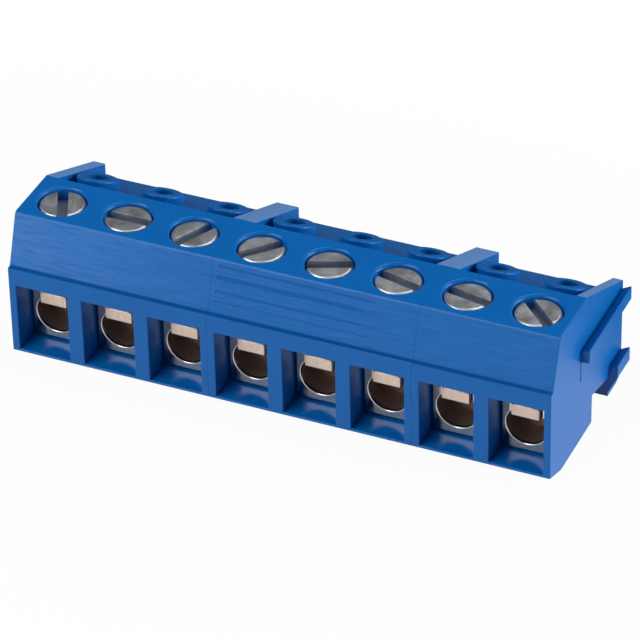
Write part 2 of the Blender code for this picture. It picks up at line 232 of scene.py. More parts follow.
class MouldingSettings(bpy.types.PropertyGroup):
    """Sizes and colours of the moulded housings"""

    edge_radius: length("Edge radius", "Rounding of the moulded edges", 0.07)
    boss_rim: length("Boss rim", "Rounding of the bosses' outer rims", 0.2)
    seam_closing: length("Seam closing", "How far each end at a seam is drawn towards the other", 0.013)
    slit_width: length("Slit width", "Width of the slit below the upper hook", 0.15)
    slit_depth: length("Slit depth", "Depth of the slit below the upper hook", 0.3)
    groove_depth: length("Groove depth", "Depth of the shallow grooves in the leaning front", 0.03)
    groove_side: length("Groove side", "How far a groove's sloping sides run out past its width", 0.13)
    groove_start: length("Groove start", "Plain stretch between the left seam and the grooves", 0.4)
    groove_stop: length("Groove stop", "Plain stretch between the grooves and the right seam", 1.0)
    groove_fade: length("Groove fade", "Length over which a groove runs out at its right end", 4.0)
    lead_in: length("Lead-in", "Width and depth of the taper at the mouth of each screw well", 0.16)
    body: colour("Body", "Blue of the moulded polyamide", "025FAB")
    matte: colour("Matte", "Paler blue of the textured leaning front", "4A7FC6")
    # Painted sheen: paler blue painted on the end walls' tops where light catches them
    painted_wall_sheen: colour("Rubbed", "Paler blue of the end walls' tops", "6694D2")


class ScrewSettings(bpy.types.PropertyGroup):
    """Sizes and colours of the clamp screws"""

    head_height: length("Head height", "Height of the screw head", 1.62)
    head_rise: length("Head rise", "How far the head stands above the packed model's", 0.1)
    head_edge: length("Head edge", "Rounding of the head's rims", 0.24)
    slot_width: length("Slot width", "Width of the driver slot", 0.78)
    slot_depth: length("Slot depth", "Depth of the driver slot", 0.80)
    slot_edge: length("Slot edge", "Rounding of the driver slot's edges", 0.05)
    thread_radius: length("Thread radius", "Radius over the crests of the thread", 1.25)
    thread_depth: length("Thread depth", "How far the thread stands out from its core", 0.2)
    thread_pitch: length("Thread pitch", "Rise of the thread in one turn", 0.5)
    tip_taper: length("Tip taper", "Chamfer at the screw's tip", 0.4)
    plating: colour("Plating", "Light grey of the zinc plate", "DEE1E5")
    # Painted shade of the driver slot
    slot_shade: colour("Slot shade", "Cooler grey of the driver slot", "A6AFBD")


class MetalSettings(bpy.types.PropertyGroup):
    """Edges and colours of the lift cages and the contacts"""

    cage_edge: length("Cage edge", "Rounding of the cage's edges", 0.05)
    rim_edge: length("Rim edge", "Rounding of the wire hole's rim", 0.09)
    contact_edge: length("Contact edge", "Rounding of the contact's edges", 0.05)
    nickel: colour("Nickel", "Bright nickel plate of the cages", "D2CEC7")
    # Brown of the bare metal in the wire hole, painted darker as the hole's shade
    hole_brown_and_shade: colour("Tarnish", "Brown of the bare metal inside the wire hole", "A8948A")
    tin: colour("Tin", "Warm tin plate of the contacts", "D8C3B5")


class StageSettings(bpy.types.PropertyGroup):
    """The camera, the floor and the light"""

    azimuth: turn("Azimuth", "Camera's turn about the block", 24.0745)
    elevation: turn("Elevation", "Camera's height above the horizon", 35.0808)
    roll: turn("Roll", "Camera's turn about its line of sight", -1.2367)
    distance: length("Distance", "Camera's distance from its target", 300.0)
    lens: amount("Lens", "Focal length on a 36 mm sensor", 240.738, "CAMERA")
    target: bpy.props.FloatVectorProperty(
        name="Target", description="Point that the camera looks at", subtype="TRANSLATION", unit="LENGTH",
        default=(-0.182 * MM, 0.569 * MM, 3.669 * MM), size=3,
    )
    floor_size: length("Floor size", "Side of the square floor", 4000.0)
    paper: colour("Paper", "Matte white of the floor", "E4E4E4")
    key: amount("Key lamp", "Power of the large lamp at the front left", 0.93, "POWER")
    top: amount("Top lamp", "Power of the lamp above and behind", 0.37, "POWER")
    side: amount("Side lamp", "Power of the lamp at the right, a little behind", 1.1, "POWER")
    sky: amount("Sky", "Strength of the studio's dim walls", 0.11)
    window: amount("Window", "Added strength of the wall at the front left", 0.45)


def add_node(tree, kind, inputs=None, **settings):
    """Adds a node, sets its properties, and fills its sockets with values or links them to others."""
    node = tree.nodes.new(kind)
    for name, value in settings.items():
        setattr(node, name, value)
    for socket, value in (inputs or {}).items():
        if isinstance(value, bpy.types.NodeSocket):
            tree.links.new(value, node.inputs[socket])
        else:
            node.inputs[socket].default_value = value
    return node


def new_material(name):
    """An empty node material for the functions below to fill."""
    material = bpy.data.materials.new(name)
    material.use_nodes = True
    material.node_tree.nodes.clear()
    return material


def per_size(millimetres):
    """The scale of a texture on Object coordinates whose features are about this wide."""
    return 1.0 / (millimetres * MM)


def shade(linear, factor):
    """A colour made darker or lighter, with full alpha."""
    return (*[min(1.0, channel * factor) for channel in linear], 1.0)


def leaning_plane(x):
    """The ledge's point at the foot of the leaning front, the way up its slope and the way out of it."""
    up_slope = Vector((0, TOP_FRONT_Y - LEDGE_Y, TOP_Z - LEDGE_Z)).normalized()
    outward = Vector((0, -up_slope.z, up_slope.y))
    return Vector((x, CAD_LOW.y + LEDGE_Y, CAD_LOW.z + LEDGE_Z)), up_slope, outward


def rear_plane():
    """A point on the plane that slopes from the top to the back, and the way out of it."""
    fall = Vector((0, BACK_Y - TOP_REAR_Y, BACK_Z - TOP_Z)).normalized()
    return Vector((0, CAD_LOW.y + TOP_REAR_Y, CAD_LOW.z + TOP_Z)), Vector((0, -fall.z, fall.y))


def moulded_polyamide(settings):
    """Polyamide from a polished mould is satin: a soft sheen over deep blue, with faint clouds.

    The leaning front was textured in the mould, so it looks paler and more matte, with fine level streaks.
    Its grooves stay smooth and deep blue under a painted shade, the end walls' tops carry a painted sheen,
    and a painted shade line runs along the ledge.
    """
    material = new_material("moulded_polyamide")
    tree = material.node_tree
    place = add_node(tree, "ShaderNodeTexCoord")
    spot = place.outputs["Object"]
    clouds = add_node(
        tree, "ShaderNodeTexNoise",
        {"Vector": spot, "Scale": per_size(2.4), "Detail": 3.0, "Roughness": 0.55},
    )
    # The mould's grain is finer than a pixel, so it is drawn about four times as coarse
    grain = add_node(tree, "ShaderNodeTexNoise", {"Vector": spot, "Scale": per_size(0.16), "Detail": 2.0})
    drawn_out = add_node(tree, "ShaderNodeMapping", {"Vector": spot, "Scale": (0.1, 1.0, 1.0)})
    streaks = add_node(
        tree, "ShaderNodeTexNoise",
        {"Vector": drawn_out.outputs["Vector"], "Scale": per_size(0.2), "Detail": 3.0, "Roughness": 0.6},
    )

    # Only the leaning front faces the wire side and lies above the ledge
    ledge, _, outward = leaning_plane(0.0)
    facing = add_node(tree, "ShaderNodeSeparateXYZ", {"Vector": place.outputs["Normal"]})
    spot_parts = add_node(tree, "ShaderNodeSeparateXYZ", {"Vector": spot})
    wire_side = add_node(
        tree, "ShaderNodeMapRange",
        {"Value": facing.outputs["Y"], "From Min": -0.6, "From Max": -0.85},
    )
    above_ledge = add_node(
        tree, "ShaderNodeMapRange",
        {"Value": spot_parts.outputs["Z"], "From Min": ledge.z, "From Max": ledge.z + 0.05 * MM},
    )
    leaning = add_node(
        tree, "ShaderNodeMath",
        {0: wire_side.outputs["Result"], 1: above_ledge.outputs["Result"]}, operation="MULTIPLY",
    )
    streak_share = add_node(
        tree, "ShaderNodeMapRange",
        {"Value": streaks.outputs["Fac"], "From Min": 0.3, "From Max": 0.7, "To Min": 0.3, "To Max": 0.85},
    )
    # The texture wears off from the left end of the row towards the middle
    worn = add_node(
        tree, "ShaderNodeMapRange",
        {
            "Value": spot_parts.outputs["X"], "From Min": CAD_LOW.x, "From Max": CAD_LOW.x + WEAR_LENGTH,
            "To Min": 1.0, "To Max": 0.3,
        },
    )
    streaked = add_node(
        tree, "ShaderNodeMath",
        {0: leaning.outputs["Value"], 1: streak_share.outputs["Result"]}, operation="MULTIPLY",
    )
    paleness = add_node(
        tree, "ShaderNodeMath",
        {0: streaked.outputs["Value"], 1: worn.outputs["Result"]}, operation="MULTIPLY",
    )

    # The grooves lie below the leaning plane and were left smooth by the mould; a painted shade darkens them
    # as in a recess
    from_ledge = add_node(tree, "ShaderNodeVectorMath", {0: spot, 1: ledge}, operation="SUBTRACT")
    stands_out = add_node(
        tree, "ShaderNodeVectorMath",
        {0: from_ledge.outputs["Vector"], 1: outward}, operation="DOT_PRODUCT",
    )
    recess_shade_share = add_node(
        tree, "ShaderNodeMapRange",
        {
            "Value": stands_out.outputs["Value"], "From Min": -0.2 * settings.groove_depth,
            "From Max": -0.9 * settings.groove_depth,
        },
    )
    smooth_shaded_grooves = add_node(
        tree, "ShaderNodeMath",
        {0: leaning.outputs["Value"], 1: recess_shade_share.outputs["Result"]}, operation="MULTIPLY",
    )

    # Painted sheen: the end walls' tops, in the plane that slopes to the rear above the terrace, are painted
    # paler blue where light catches them
    crest, slope_out = rear_plane()
    from_crest = add_node(tree, "ShaderNodeVectorMath", {0: spot, 1: crest}, operation="SUBTRACT")
    above_terrace = add_node(
        tree, "ShaderNodeVectorMath",
        {0: from_crest.outputs["Vector"], 1: slope_out}, operation="DOT_PRODUCT",
    )
    wall_height = add_node(
        tree, "ShaderNodeMapRange",
        {"Value": above_terrace.outputs["Value"], "From Min": -0.3 * MM, "From Max": -0.1 * MM},
    )
    rearward = add_node(
        tree, "ShaderNodeMapRange",
        {"Value": facing.outputs["Y"], "From Min": 0.2, "From Max": 0.35},
    )
    from_first_pole = add_node(
        tree, "ShaderNodeMath",
        {0: spot_parts.outputs["X"], 1: pole_joints()[0]["pos_m"][0]}, operation="SUBTRACT",
    )
    from_pole = add_node(
        tree, "ShaderNodeMath",
        {0: from_first_pole.outputs["Value"], 1: POLE_PITCH / 2}, operation="PINGPONG",
    )
    beside_boss = add_node(
        tree, "ShaderNodeMath",
        {0: from_pole.outputs["Value"], 1: BOSS_RADIUS + NEARBY}, operation="GREATER_THAN",
    )
    wall_top = add_node(
        tree, "ShaderNodeMath",
        {0: wall_height.outputs["Result"], 1: rearward.outputs["Result"]}, operation="MULTIPLY",
    )
    painted_wall_sheen = add_node(
        tree, "ShaderNodeMath",
        {0: wall_top.outputs["Value"], 1: beside_boss.outputs["Value"]}, operation="MULTIPLY",
    )

    # Painted shade: a darker line along the ledge, at the foot of the leaning front, where the step's shadow
    # falls
    near_ledge = add_node(
        tree, "ShaderNodeMath",
        {0: spot_parts.outputs["Z"], 1: ledge.z + LEDGE_SHADE_HEIGHT, 2: 2 * LEDGE_SHADE_HEIGHT}, operation="COMPARE",
    )
    in_front = add_node(
        tree, "ShaderNodeMath",
        {0: spot_parts.outputs["Y"], 1: ledge.y + LEDGE_Y}, operation="LESS_THAN",
    )
    ledge_shade = add_node(
        tree, "ShaderNodeMath",
        {0: near_ledge.outputs["Value"], 1: in_front.outputs["Value"]}, operation="MULTIPLY",
    )

    # Each colour layer, painted shade and painted sheen among them, covers the ones before it where its share
    # is 1
    colour_layers = (
        (clouds.outputs["Fac"], shade(settings.body, 1.06)),
        (paleness.outputs["Value"], shade(settings.matte, 1.0)),
        # Painted shade darkens the grooves and the ledge line, and a painted sheen makes the end walls' tops
        # paler
        (smooth_shaded_grooves.outputs["Value"], shade(settings.body, 0.85)),
        (painted_wall_sheen.outputs["Value"], shade(settings.painted_wall_sheen, 1.0)),
        (ledge_shade.outputs["Value"], shade(settings.body, 0.75)),
    )
    under = shade(settings.body, 0.94)
    for share, colour_layer in colour_layers:
        covered = add_node(
            tree, "ShaderNodeMix",
            {MIX_FACTOR: share, MIX_A: under, MIX_B: colour_layer}, data_type="RGBA",
        )
        under = covered.outputs[MIX_RESULT]

    # Faces that look along the row slid over the mould's sides and came out dull
    along_row = add_node(tree, "ShaderNodeMath", {0: facing.outputs["X"]}, operation="ABSOLUTE")
    dull = add_node(
        tree, "ShaderNodeMapRange",
        {
            "Value": along_row.outputs["Value"], "From Min": 0.6, "From Max": 0.85,
            "To Min": 0.2, "To Max": 0.38,
        },
    )
    textured = add_node(
        tree, "ShaderNodeMapRange",
        {"Value": paleness.outputs["Value"], "To Min": 0.2, "To Max": 0.6},
    )
    roughness = add_node(
        tree, "ShaderNodeMath",
        {0: dull.outputs["Result"], 1: textured.outputs["Result"]}, operation="MAXIMUM",
    )
    fine = add_node(
        tree, "ShaderNodeBump",
        {"Height": grain.outputs["Fac"], "Strength": 0.1, "Distance": 0.02 * MM},
    )
    streak_height = add_node(
        tree, "ShaderNodeMath",
        {0: streaks.outputs["Fac"], 1: leaning.outputs["Value"]}, operation="MULTIPLY",
    )
    relief = add_node(
        tree, "ShaderNodeBump",
        {
            "Height": streak_height.outputs["Value"], "Strength": 0.15, "Distance": 0.04 * MM,
            "Normal": fine.outputs["Normal"],
        },
    )
    shader = add_node(
        tree, "ShaderNodeBsdfPrincipled",
        {
            "Base Color": under, "Roughness": roughness.outputs["Value"],
            "Normal": relief.outputs["Normal"], "IOR": 1.53, "Specular IOR Level": 0.2,
        },
    )
    add_node(tree, "ShaderNodeOutputMaterial", {"Surface": shader.outputs["BSDF"]})
    return material


def zinc_plated_steel(settings, head_top):
    """Turned steel under a thin zinc plate: cool grey, stained and scratched, with fine rings from the lathe.

    A painted shade makes the driver slot darker and cooler than the head.
    """
    material = new_material("zinc_plated_steel")
    tree = material.node_tree
    plan = add_node(tree, "ShaderNodeUVMap", uv_map="plan")
    place = add_node(tree, "ShaderNodeTexCoord")
    # The plan map counts millimetres from the screw's axis
    rings = add_node(
        tree, "ShaderNodeTexWave",
        {"Vector": plan.outputs["UV"], "Scale": 2.4, "Distortion": 0.6, "Detail": 2.0},
        wave_type="RINGS", rings_direction="Z",
    )
    drawn_out = add_node(
        tree, "ShaderNodeMapping",
        {"Vector": plan.outputs["UV"], "Scale": (0.5, 5.0, 1.0), "Rotation": (0, 0, 0.5)},
    )
    scratches = add_node(
        tree, "ShaderNodeTexNoise",
        {"Vector": drawn_out.outputs["Vector"], "Scale": 1.6, "Detail": 5.0, "Roughness": 0.7},
    )
    stains = add_node(
        tree, "ShaderNodeTexNoise",
        {"Vector": place.outputs["Object"], "Scale": per_size(1.3), "Detail": 3.0},
    )
    stain_share = add_node(
        tree, "ShaderNodeMapRange",
        {"Value": stains.outputs["Fac"], "From Min": 0.36, "From Max": 0.66},
    )
    plating = add_node(
        tree, "ShaderNodeMix",
        {
            MIX_FACTOR: stain_share.outputs["Result"], MIX_A: shade(settings.plating, 1.15),
            MIX_B: shade(settings.plating, 0.6),
        },
        data_type="RGBA",
    )
    spot_parts = add_node(tree, "ShaderNodeSeparateXYZ", {"Vector": place.outputs["Object"]})
    # Painted shade: below the head's top the colour turns to the darker, cooler slot shade
    recess_shade_share = add_node(
        tree, "ShaderNodeMapRange",
        {
            "Value": spot_parts.outputs["Z"], "From Min": head_top - 0.1 * MM,
            "From Max": head_top - 0.35 * MM,
        },
    )
    slot_shaded = add_node(
        tree, "ShaderNodeMix",
        {
            MIX_FACTOR: recess_shade_share.outputs["Result"], MIX_A: plating.outputs[MIX_RESULT],
            MIX_B: shade(settings.slot_shade, 1.0),
        },
        data_type="RGBA",
    )
    scratch_share = add_node(
        tree, "ShaderNodeMapRange",
        {
            "Value": scratches.outputs["Fac"], "From Min": 0.35, "From Max": 0.65,
            "To Min": 0.32, "To Max": 0.5,
        },
    )
    turned = add_node(
        tree, "ShaderNodeBump",
        {"Height": rings.outputs["Fac"], "Strength": 0.15, "Distance": 0.01 * MM},
    )
    handled = add_node(
        tree, "ShaderNodeBump",
        {
            "Height": scratches.outputs["Fac"], "Strength": 0.35, "Distance": 0.04 * MM,
            "Normal": turned.outputs["Normal"],
        },
    )
    shader = add_node(
        tree, "ShaderNodeBsdfPrincipled",
        {
            "Base Color": slot_shaded.outputs[MIX_RESULT], "Metallic": 1.0,
            "Roughness": scratch_share.outputs["Result"], "Normal": handled.outputs["Normal"],
        },
    )
    add_node(tree, "ShaderNodeOutputMaterial", {"Surface": shader.outputs["BSDF"]})
    return material


def bright_nickel_plate(settings, front):
    """Nickel plate over brass: a warm mirror with soft ripples and dull spots, brown with painted shade in
    the wire hole.
    """
    material = new_material("bright_nickel_plate")
    tree = material.node_tree
    place = add_node(tree, "ShaderNodeTexCoord")
    ripples = add_node(
        tree, "ShaderNodeTexNoise",
        {"Vector": place.outputs["Object"], "Scale": per_size(0.7), "Detail": 2.0},
    )
    spots = add_node(
        tree, "ShaderNodeTexNoise",
        {"Vector": place.outputs["Object"], "Scale": per_size(0.6), "Detail": 2.0},
    )
    tint = add_node(
        tree, "ShaderNodeMix",
        {
            MIX_FACTOR: spots.outputs["Fac"], MIX_A: shade(settings.nickel, 1.05),
            MIX_B: shade(settings.nickel, 0.9),
        },
        data_type="RGBA",
    )
    # Inside the hole the plate ran out and the bare metal is brown, painted darker there as the hole's shade
    spot_parts = add_node(tree, "ShaderNodeSeparateXYZ", {"Vector": place.outputs["Object"]})
    inside = add_node(
        tree, "ShaderNodeMapRange",
        {"Value": spot_parts.outputs["Y"], "From Min": front + 0.1 * MM, "From Max": front + 0.35 * MM},
    )
    paint = add_node(
        tree, "ShaderNodeMix",
        {
            MIX_FACTOR: inside.outputs["Result"], MIX_A: tint.outputs[MIX_RESULT],
            MIX_B: shade(settings.hole_brown_and_shade, 1.0),
        },
        data_type="RGBA",
    )
    polish = add_node(
        tree, "ShaderNodeMapRange",
        {"Value": spots.outputs["Fac"], "From Min": 0.4, "From Max": 0.7, "To Min": 0.09, "To Max": 0.22},
    )
    dullness = add_node(
        tree, "ShaderNodeMapRange",
        {"Value": inside.outputs["Result"], "To Min": polish.outputs["Result"], "To Max": 0.6},
    )
    relief = add_node(
        tree, "ShaderNodeBump",
        {"Height": ripples.outputs["Fac"], "Strength": 0.15, "Distance": 0.05 * MM},
    )
    shader = add_node(
        tree, "ShaderNodeBsdfPrincipled",
        {
            "Base Color": paint.outputs[MIX_RESULT], "Metallic": 1.0,
            "Roughness": dullness.outputs["Result"], "Normal": relief.outputs["Normal"],
        },
    )
    add_node(tree, "ShaderNodeOutputMaterial", {"Surface": shader.outputs["BSDF"]})
    return material


def tinned_copper_alloy(settings):
    """Copper alloy strip under thin tin plate: pale and warm, satin, with upright marks from the shear."""
    material = new_material("tinned_copper_alloy")
    tree = material.node_tree
    place = add_node(tree, "ShaderNodeTexCoord")
    drawn_out = add_node(
        tree, "ShaderNodeMapping",
        {"Vector": place.outputs["Object"], "Scale": (1.0, 1.0, 0.12)},
    )
    marks = add_node(
        tree, "ShaderNodeTexNoise",
        {"Vector": drawn_out.outputs["Vector"], "Scale": per_size(0.12), "Detail": 3.0},
    )
    tint = add_node(
        tree, "ShaderNodeMix",
        {
            MIX_FACTOR: marks.outputs["Fac"], MIX_A: shade(settings.tin, 1.05),
            MIX_B: shade(settings.tin, 0.86),
        },
        data_type="RGBA",
    )
    dullness = add_node(
        tree, "ShaderNodeMapRange",
        {"Value": marks.outputs["Fac"], "From Min": 0.3, "From Max": 0.7, "To Min": 0.32, "To Max": 0.46},
    )
    relief = add_node(
        tree, "ShaderNodeBump",
        {"Height": marks.outputs["Fac"], "Strength": 0.2, "Distance": 0.02 * MM},
    )
    shader = add_node(
        tree, "ShaderNodeBsdfPrincipled",
        {
            "Base Color": tint.outputs[MIX_RESULT], "Metallic": 1.0,
            "Roughness": dullness.outputs["Result"], "Normal": relief.outputs["Normal"],
        },
    )
    add_node(tree, "ShaderNodeOutputMaterial", {"Surface": shader.outputs["BSDF"]})
    return material


def studio_floor(settings):
    """Matte white paper. The camera, and metal that mirrors it, see it white, with a soft shadow left in.

    Mirrored behind the block it fades, as it would at the edge of a table.
    """
    material = new_material("studio_floor")
    tree = material.node_tree
    place = add_node(tree, "ShaderNodeTexCoord")
    squeezed = add_node(
        tree, "ShaderNodeMapping",
        {"Vector": place.outputs["Object"], "Scale": (0.5, 1.0, 0.0)},
    )
    distance = add_node(tree, "ShaderNodeVectorMath", {0: squeezed.outputs["Vector"]}, operation="LENGTH")
    far = add_node(
        tree, "ShaderNodeMapRange",
        {"Value": distance.outputs["Value"], "From Min": 20 * MM, "From Max": 45 * MM},
        interpolation_type="SMOOTHSTEP",
    )
    spot_parts = add_node(tree, "ShaderNodeSeparateXYZ", {"Vector": place.outputs["Object"]})
    behind = add_node(
        tree, "ShaderNodeMapRange",
        {"Value": spot_parts.outputs["Y"], "From Min": 4 * MM, "From Max": 14 * MM},
        interpolation_type="SMOOTHSTEP",
    )
    path = add_node(tree, "ShaderNodeLightPath")
    mirrored = add_node(
        tree, "ShaderNodeMath",
        {0: path.outputs["Is Glossy Ray"], 1: path.outputs["Is Transmission Ray"]}, operation="MAXIMUM",
    )
    shown = add_node(
        tree, "ShaderNodeMath",
        {0: path.outputs["Is Camera Ray"], 1: mirrored.outputs["Value"]}, operation="MAXIMUM",
    )
    white_share = add_node(
        tree, "ShaderNodeMapRange",
        {"Value": far.outputs["Result"], "To Min": 0.95, "To Max": 1.0},
    )
    glow_share = add_node(
        tree, "ShaderNodeMath",
        {0: shown.outputs["Value"], 1: white_share.outputs["Result"]}, operation="MULTIPLY",
    )
    unseen = add_node(
        tree, "ShaderNodeMath",
        {0: 1.0, 1: path.outputs["Is Camera Ray"]}, operation="SUBTRACT",
    )
    faded = add_node(
        tree, "ShaderNodeMath",
        {0: unseen.outputs["Value"], 1: behind.outputs["Result"]}, operation="MULTIPLY",
    )
    strength = add_node(
        tree, "ShaderNodeMapRange",
        {"Value": faded.outputs["Value"], "To Min": 1.0, "To Max": 0.06},
    )
    paper = add_node(tree, "ShaderNodeBsdfDiffuse", {"Color": shade(settings.paper, 1.0)})
    glow = add_node(
        tree, "ShaderNodeEmission",
        {"Color": WHITE, "Strength": strength.outputs["Result"]},
    )
    mixed = add_node(
        tree, "ShaderNodeMixShader",
        {0: glow_share.outputs["Value"], 1: paper.outputs["BSDF"], 2: glow.outputs["Emission"]},
    )
    add_node(tree, "ShaderNodeOutputMaterial", {"Surface": mixed.outputs["Shader"]})
    return material


def copied_shape(node):
    """A CAD node's mesh with its loose triangles merged and its flat stretches made whole."""
    shape = bmesh.new()
    shape.from_mesh(frame["nodes"][node].data)
    bmesh.ops.remove_doubles(shape, verts=shape.verts, dist=MERGE_DISTANCE)
    bmesh.ops.dissolve_limit(shape, angle_limit=FLAT_ANGLE, verts=shape.verts, edges=shape.edges)
    bmesh.ops.dissolve_degenerate(shape, edges=shape.edges, dist=SHORT_EDGE)
    return shape


def outward_edges(shape, allowed, angle=SHARP_ANGLE):
    """The outward edges of a shape that turn by more than an angle and whose end points are allowed."""
    sharp = [edge for edge in shape.edges if edge.is_convex and edge.calc_face_angle(0.0) > angle]
    return [edge for edge in sharp if allowed([vert.co for vert in edge.verts])]


def round_edges(shape, radius, segments, edges):
    """Rounds the given edges of a shape in place."""
    bmesh.ops.bevel(
        shape, geom=edges, offset=radius, offset_type="OFFSET", affect="EDGES", segments=segments,
        profile=0.5, material=-1, clamp_overlap=False,
    )


def linked_object(name, shape):
    """An object at the origin made from a shape, which is used up."""
    mesh = bpy.data.meshes.new(name)
    shape.to_mesh(mesh)
    shape.free()
    made = bpy.data.objects.new(name, mesh)
    bpy.context.scene.collection.objects.link(made)
    return made


def combined(shape, other, operation):
    """The exact Boolean of two closed shapes, which are used up."""
    kept = linked_object("kept", shape)
    tool = linked_object("tool", other)
    modifier = kept.modifiers.new("combine", "BOOLEAN")
    modifier.operation = operation
    modifier.solver = "EXACT"
    modifier.object = tool
    evaluated = kept.evaluated_get(bpy.context.evaluated_depsgraph_get())
    made = bmesh.new()
    made.from_mesh(evaluated.to_mesh())
    evaluated.to_mesh_clear()
    for used in (kept, tool):
        mesh = used.data
        bpy.data.objects.remove(used)
        bpy.data.meshes.remove(mesh)
    if not made.faces:
        raise RuntimeError("a Boolean left nothing")
    return made


def prism(outline, travel):
    """A flat outline of points in space, extruded along travel into a closed shape."""
    shape = bmesh.new()
    face = shape.faces.new([shape.verts.new(point) for point in outline])
    grown = bmesh.ops.extrude_face_region(shape, geom=[face])["geom"]
    moved = [item for item in grown if isinstance(item, bmesh.types.BMVert)]
    bmesh.ops.translate(shape, verts=moved, vec=travel)
    bmesh.ops.recalc_face_normals(shape, faces=shape.faces)
    return shape


def add_piece(name, shape, material, node):
    """Makes a finished shape a piece that stands for a CAD node and moves with its body."""
    shape.normal_update()
    for face in shape.faces:
        face.smooth = True
    for edge in shape.edges:
        edge.smooth = edge.calc_face_angle(math.pi) < SMOOTH_ANGLE
    piece = linked_object(name, shape)
    piece.data.materials.append(material)
    weighted = piece.modifiers.new("even_shading", "WEIGHTED_NORMAL")
    weighted.keep_sharp = True
    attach(piece, frame["nodes"][node]["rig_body"])
    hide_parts(node)


def pole_joints():
    """The screws' joints, from the first pole to the last."""
    turns = [joint for joint in frame["joints"] if joint["type"] == "hinge"]
    return sorted(turns, key=lambda joint: joint["pos_m"][0])


def groove_cutter(settings, low_x, high_x, centre, width):
    """A long shallow trapezoid lying in the leaning front."""
    ledge, up_slope, outward = leaning_plane(low_x)
    depth = settings.groove_depth
    wide = width / 2 + settings.groove_side
    narrow = width / 4
    section = ((-wide, depth), (-narrow, -depth), (narrow, -depth), (wide, depth))
    outline = [ledge + up_slope * (centre + along) + outward * out for along, out in section]
    shape = prism(outline, (high_x - settings.groove_fade - low_x, 0, 0))
    shape.faces.ensure_lookup_table()
    far_end = max(shape.faces, key=lambda face: face.calc_center_median().x)
    grown = bmesh.ops.extrude_discrete_faces(shape, faces=[far_end])["faces"]
    bmesh.ops.translate(
        shape, verts=grown[0].verts, vec=Vector((settings.groove_fade, 0, 0)) + outward * depth,
    )
    return shape


def widen_wells(settings, shape):
    """Draws the chamfered mouth of each screw well out into a wider lead-in."""
    top = CAD_LOW.z + TOP_Z
    for joint in pole_joints():
        axis = Vector(joint["pos_m"][:2])
        mouth = [
            vert for vert in shape.verts
            if vert.co.z > top - NEARBY and (vert.co.xy - axis).length < WELL_RADIUS + NEARBY
        ]
        for vert in mouth:
            if vert.co.z > top - CLOSE:
                vert.co.xy = axis + (vert.co.xy - axis).normalized() * (WELL_RADIUS + settings.lead_in)
            else:
                vert.co.z = top - settings.lead_in


def slit_cutter(settings, node):
    """A thin upright slab that reaches into a module's right end."""
    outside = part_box(node)[1].x - DOVETAIL_REACH + SLIT_OVERLAP
    near = SLIT_Y - settings.slit_width / 2
    far = SLIT_Y + settings.slit_width / 2
    corners = ((near, SLIT_LOW), (far, SLIT_LOW), (far, SLIT_HIGH), (near, SLIT_HIGH))
    outline = [Vector((outside, CAD_LOW.y + y, CAD_LOW.z + z)) for y, z in corners]
    return prism(outline, (-settings.slit_depth, 0, 0))


def close_seams(settings, shape, node):
    """Draws the ends that meet other modules together, so that the seams show as hairlines."""
    low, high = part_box(node)
    ends = ((low.x, -1, MODULES[0]), (high.x - DOVETAIL_REACH, 1, MODULES[-1]))
    for x, way, outermost in ends:
        if node != outermost:
            end = [vert for vert in shape.verts if abs(vert.co.x - x) < CLOSE]
            bmesh.ops.translate(shape, verts=end, vec=(way * settings.seam_closing, 0, 0))


def boss_rims(shape):
    """The outer rims of the bosses, whose tops lie in the plane that slopes to the rear."""
    crest, slope_out = rear_plane()
    axes = [Vector((joint["pos_m"][0], CAD_LOW.y + BOSS_Y)) for joint in pole_joints()]

    def on_rim(point):
        away = min((point.xy - axis).length for axis in axes)
        return abs((point - crest).dot(slope_out)) < CLOSE and abs(away - BOSS_RADIUS) < NEARBY

    return outward_edges(shape, lambda points: all(on_rim(point) for point in points))


def free_edges(node):
    """A test for edges of a housing that lie away from its dovetails and its seams with other modules."""
    low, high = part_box(node)
    groove_side = low.x + DOVETAIL_REACH + NEARBY
    hook_root = high.x - DOVETAIL_REACH
    seams = []
    if node != MODULES[0]:
        seams.append(low.x)
    if node != MODULES[-1]:
        seams.append(hook_root)

    def clear(point):
        if point.y < CAD_LOW.y + DOVETAIL_FRONT or point.z > CAD_LOW.z + DOVETAIL_TOP:
            return True
        return point.x > groove_side and abs(point.x - hook_root) > NEARBY

    def test(points):
        on_seam = any(all(abs(point.x - x) < CLOSE for point in points) for x in seams)
        return not on_seam and all(clear(point) for point in points)

    return test


def cut_grooves(settings, shape, node):
    """The shape, which is used up, with the shallow grooves of the leaning front cut into it."""
    low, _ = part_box(node)
    following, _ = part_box(MODULES[MODULES.index(node) + 1])
    start = low.x + settings.groove_start
    stop = following.x - settings.groove_stop
    for centre, width in GROOVES:
        shape = combined(shape, groove_cutter(settings, start, stop, centre, width), "DIFFERENCE")
    return shape


def build_housings(settings):
    """Copies the modules, and adds slits, lead-ins, rounded edges and the grooves of the middle one."""
    plastic = moulded_polyamide(settings)
    for node in MODULES:
        shape = combined(copied_shape(node), slit_cutter(settings, node), "DIFFERENCE")
        widen_wells(settings, shape)
        round_edges(shape, settings.boss_rim, BOSS_SEGMENTS, boss_rims(shape))
        round_edges(shape, settings.edge_radius, EDGE_SEGMENTS, outward_edges(shape, free_edges(node)))
        if node == GROOVED_MODULE:
            shape = cut_grooves(settings, shape, node)
        close_seams(settings, shape, node)
        add_piece(f"moulded_{node}", shape, plastic, node)


def turned_shape(profile, steps):
    """A profile of (radius, height) points turned about Z."""
    shape = bmesh.new()
    points = [shape.verts.new((radius, 0, height)) for radius, height in profile]
    edges = [shape.edges.new(pair) for pair in zip(points, points[1:])]
    bmesh.ops.spin(
        shape, geom=points + edges, cent=(0, 0, 0), axis=(0, 0, 1), angle=2 * math.pi, steps=steps,
        use_merge=True,
    )
    bmesh.ops.remove_doubles(shape, verts=shape.verts, dist=MERGE_DISTANCE / 2)
    bmesh.ops.dissolve_limit(shape, angle_limit=FLAT_ANGLE, verts=shape.verts, edges=shape.edges)
    bmesh.ops.recalc_face_normals(shape, faces=shape.faces)
    return shape


